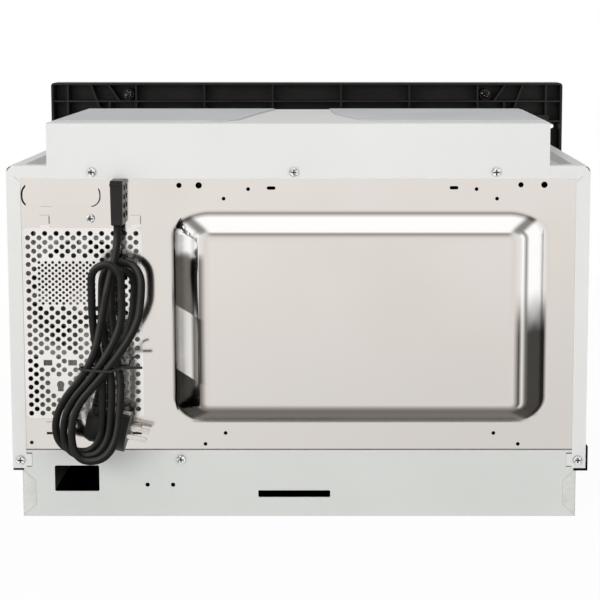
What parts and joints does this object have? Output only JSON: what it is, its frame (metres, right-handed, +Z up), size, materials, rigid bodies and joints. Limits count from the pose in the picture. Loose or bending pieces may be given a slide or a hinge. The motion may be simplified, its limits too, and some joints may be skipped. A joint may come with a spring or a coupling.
{
  "type": "built-in microwave oven",
  "caption": "Built-in microwave oven with a ribbed front frame, side-hinged door, turntable, rear vent field, drawn rear bulge, roof air duct, plinth and a tied cord.",
  "frame": {"origin": "on the shelf the oven stands on, under the middle of its width and of its overall depth", "axes": "+X to the right seen from the front, +Y to the rear, +Z up; the door faces -Y"},
  "size_m": [0.595, 0.476, 0.402],
  "materials": {
    "white_paint": "smooth white powder paint",
    "plinth_paint": "satin light grey paint",
    "rear_steel": "bright rolled stainless sheet",
    "chassis_zinc": "zinc-plated sheet",
    "vent_black": "matt black sheet",
    "frame_black": "moulded black plastic, satin",
    "screw_steel": "bright zinc screws",
    "cavity_enamel": "grey enamel",
    "mica": "mica sheet",
    "door_black_glass": "dark toughened glass",
    "door_steel": "black enamelled pressing",
    "clear_film": "clear sheet",
    "choke_plastic": "black choke cover",
    "latch_plastic": "natural acetal",
    "spring_wire": "bright spring wire",
    "panel_black": "glossy black moulding",
    "display_smoke": "smoked window",
    "button_black": "satin black buttons",
    "knob_metal": "satin turned cap",
    "board_green": "circuit board",
    "inner_white": "white inner moulding",
    "switch_black": "switch bodies",
    "galvanised": "galvanised sheet",
    "fin_aluminium": "thin stamped fins",
    "core_iron": "varnished laminations",
    "copper_winding": "enamelled copper wire",
    "can_aluminium": "drawn can",
    "motor_steel": "laminated motor",
    "fan_plastic": "moulded fan",
    "lamp_glass": "lamp",
    "tray_glass": "clear glass",
    "cord_rubber": "black flexible cord",
    "tie_wire": "coated wire tie",
    "plug_rubber": "moulded black plug",
    "pin_brass": "nickel-plated pins",
    "door_plastic": "moulded black plastic"
  },
  "bodies": {
    "case": {"outer_cabinet": "white_paint", "top_air_duct": "white_paint", "base_plinth": "plinth_paint", "rear_panel": "rear_steel", "base_plate": "chassis_zinc", "vent_grille": "vent_black", "front_frame": "frame_black", "case_screws": "screw_steel", "cavity_liner": "cavity_enamel", "waveguide": "galvanised", "waveguide_cover": "mica", "hinge_brackets": "chassis_zinc", "control_panel": "panel_black", "display_window": "display_smoke", "knob_encoder": "switch_black", "control_board": "board_green", "interlock_bracket": "inner_white", "interlock_switches": "switch_black", "magnetron": "galvanised", "magnetron_fins": "fin_aluminium", "transformer_core": "core_iron", "transformer_windings": "copper_winding", "capacitor": "can_aluminium", "capacitor_clamp": "chassis_zinc", "filter_board": "board_green", "fan_housing": "inner_white", "fan_motor": "motor_steel", "air_guide": "inner_white", "cavity_lamp": "lamp_glass", "thermal_cutouts": "switch_black", "turntable_motor": "motor_steel", "cord_anchor": "plug_rubber", "power_cord": "cord_rubber", "cord_hank": "cord_rubber", "twist_tie": "tie_wire", "plug_body": "plug_rubber", "plug_pins": "pin_brass"},
    "door": {"door_frame": "door_plastic", "door_glass": "door_black_glass", "door_inner_panel": "door_steel", "door_inner_window": "clear_film", "choke_cover": "choke_plastic", "latch_spring": "spring_wire"},
    "latch": {"latch_hooks": "latch_plastic"},
    "open_button": {"door_open_button": "button_black"},
    "lever": {"door_open_lever": "latch_plastic"},
    "knob": {"control_knob": "knob_metal"},
    "fan": {"fan_rotor": "fan_plastic"},
    "turntable": {"turntable_coupler": "inner_white", "glass_tray": "tray_glass"},
    "ring": {"roller_ring": "inner_white"},
    "button_1": {"push_button_1": "button_black"},
    "button_2": {"push_button_2": "button_black"},
    "button_3": {"push_button_3": "button_black"},
    "button_4": {"push_button_4": "button_black"},
    "button_5": {"push_button_5": "button_black"},
    "button_6": {"push_button_6": "button_black"},
    "wheel_1": {"roller_1": "inner_white"},
    "wheel_2": {"roller_2": "inner_white"},
    "wheel_3": {"roller_3": "inner_white"}
  },
  "joints": [
    {"name": "door_hinge", "type": "hinge", "parent": "case", "child": "door", "pos_m": [-0.2705, -0.195, 0.198], "axis": [0, 0, -1], "range_deg": [0, 95]},
    {"name": "latch_lift", "type": "slide", "parent": "door", "child": "latch", "axis": [0, 0, 1], "range_m": [0, 0.005], "stiffness_N_per_m": 400, "springref_m": -0.004, "deforming": ["latch_spring"]},
    {"name": "door_open_push", "type": "slide", "parent": "case", "child": "open_button", "axis": [0, 1, 0], "range_m": [0, 0.005], "stiffness_N_per_m": 300, "springref_m": -0.003},
    {"name": "lever_rock", "type": "hinge", "parent": "case", "child": "lever", "pos_m": [0.174, -0.168, 0.102], "axis": [1, 0, 0], "range_deg": [0, 12]},
    {"name": "knob_turn", "type": "hinge", "parent": "case", "child": "knob", "pos_m": [0.21775, -0.2, 0.16], "axis": [0, -1, 0], "continuous": true},
    {"name": "fan_spin", "type": "hinge", "parent": "case", "child": "fan", "pos_m": [0.207, 0.15, 0.208], "axis": [0, 1, 0], "continuous": true},
    {"name": "turntable_spin", "type": "hinge", "parent": "case", "child": "turntable", "pos_m": [-0.0575, 0.006, 0.1], "axis": [0, 0, 1], "continuous": true},
    {"name": "ring_spin", "type": "hinge", "parent": "case", "child": "ring", "pos_m": [-0.0575, 0.006, 0.1003], "axis": [0, 0, 1], "continuous": true},
    {"name": "button_1_press", "type": "slide", "parent": "case", "child": "button_1", "axis": [0, 1, 0], "range_m": [0, 0.001], "stiffness_N_per_m": 800, "springref_m": -0.0005},
    {"name": "button_2_press", "type": "slide", "parent": "case", "child": "button_2", "axis": [0, 1, 0], "range_m": [0, 0.001], "stiffness_N_per_m": 800, "springref_m": -0.0005},
    {"name": "button_3_press", "type": "slide", "parent": "case", "child": "button_3", "axis": [0, 1, 0], "range_m": [0, 0.001], "stiffness_N_per_m": 800, "springref_m": -0.0005},
    {"name": "button_4_press", "type": "slide", "parent": "case", "child": "button_4", "axis": [0, 1, 0], "range_m": [0, 0.001], "stiffness_N_per_m": 800, "springref_m": -0.0005},
    {"name": "button_5_press", "type": "slide", "parent": "case", "child": "button_5", "axis": [0, 1, 0], "range_m": [0, 0.001], "stiffness_N_per_m": 800, "springref_m": -0.0005},
    {"name": "button_6_press", "type": "slide", "parent": "case", "child": "button_6", "axis": [0, 1, 0], "range_m": [0, 0.001], "stiffness_N_per_m": 800, "springref_m": -0.0005},
    {"name": "wheel_1_roll", "type": "hinge", "parent": "ring", "child": "wheel_1", "pos_m": [0.02477, 0.0535, 0.1003], "axis": [0.866, 0.5, 0], "continuous": true},
    {"name": "wheel_2_roll", "type": "hinge", "parent": "ring", "child": "wheel_2", "pos_m": [-0.13977, 0.0535, 0.1003], "axis": [-0.866, 0.5, 0], "continuous": true},
    {"name": "wheel_3_roll", "type": "hinge", "parent": "ring", "child": "wheel_3", "pos_m": [-0.0575, -0.089, 0.1003], "axis": [0, -1, 0], "continuous": true}
  ],
  "couplings": [
    {"joint": "latch_lift", "follows": "door_open_push", "ratio": 1},
    {"joint": "lever_rock", "follows": "door_open_push", "rad_per_m": 41.667},
    {"joint": "ring_spin", "follows": "turntable_spin", "ratio": 0.5},
    {"joint": "wheel_1_roll", "follows": "turntable_spin", "ratio": -6.7857},
    {"joint": "wheel_2_roll", "follows": "turntable_spin", "ratio": -6.7857},
    {"joint": "wheel_3_roll", "follows": "turntable_spin", "ratio": -6.7857}
  ]
}
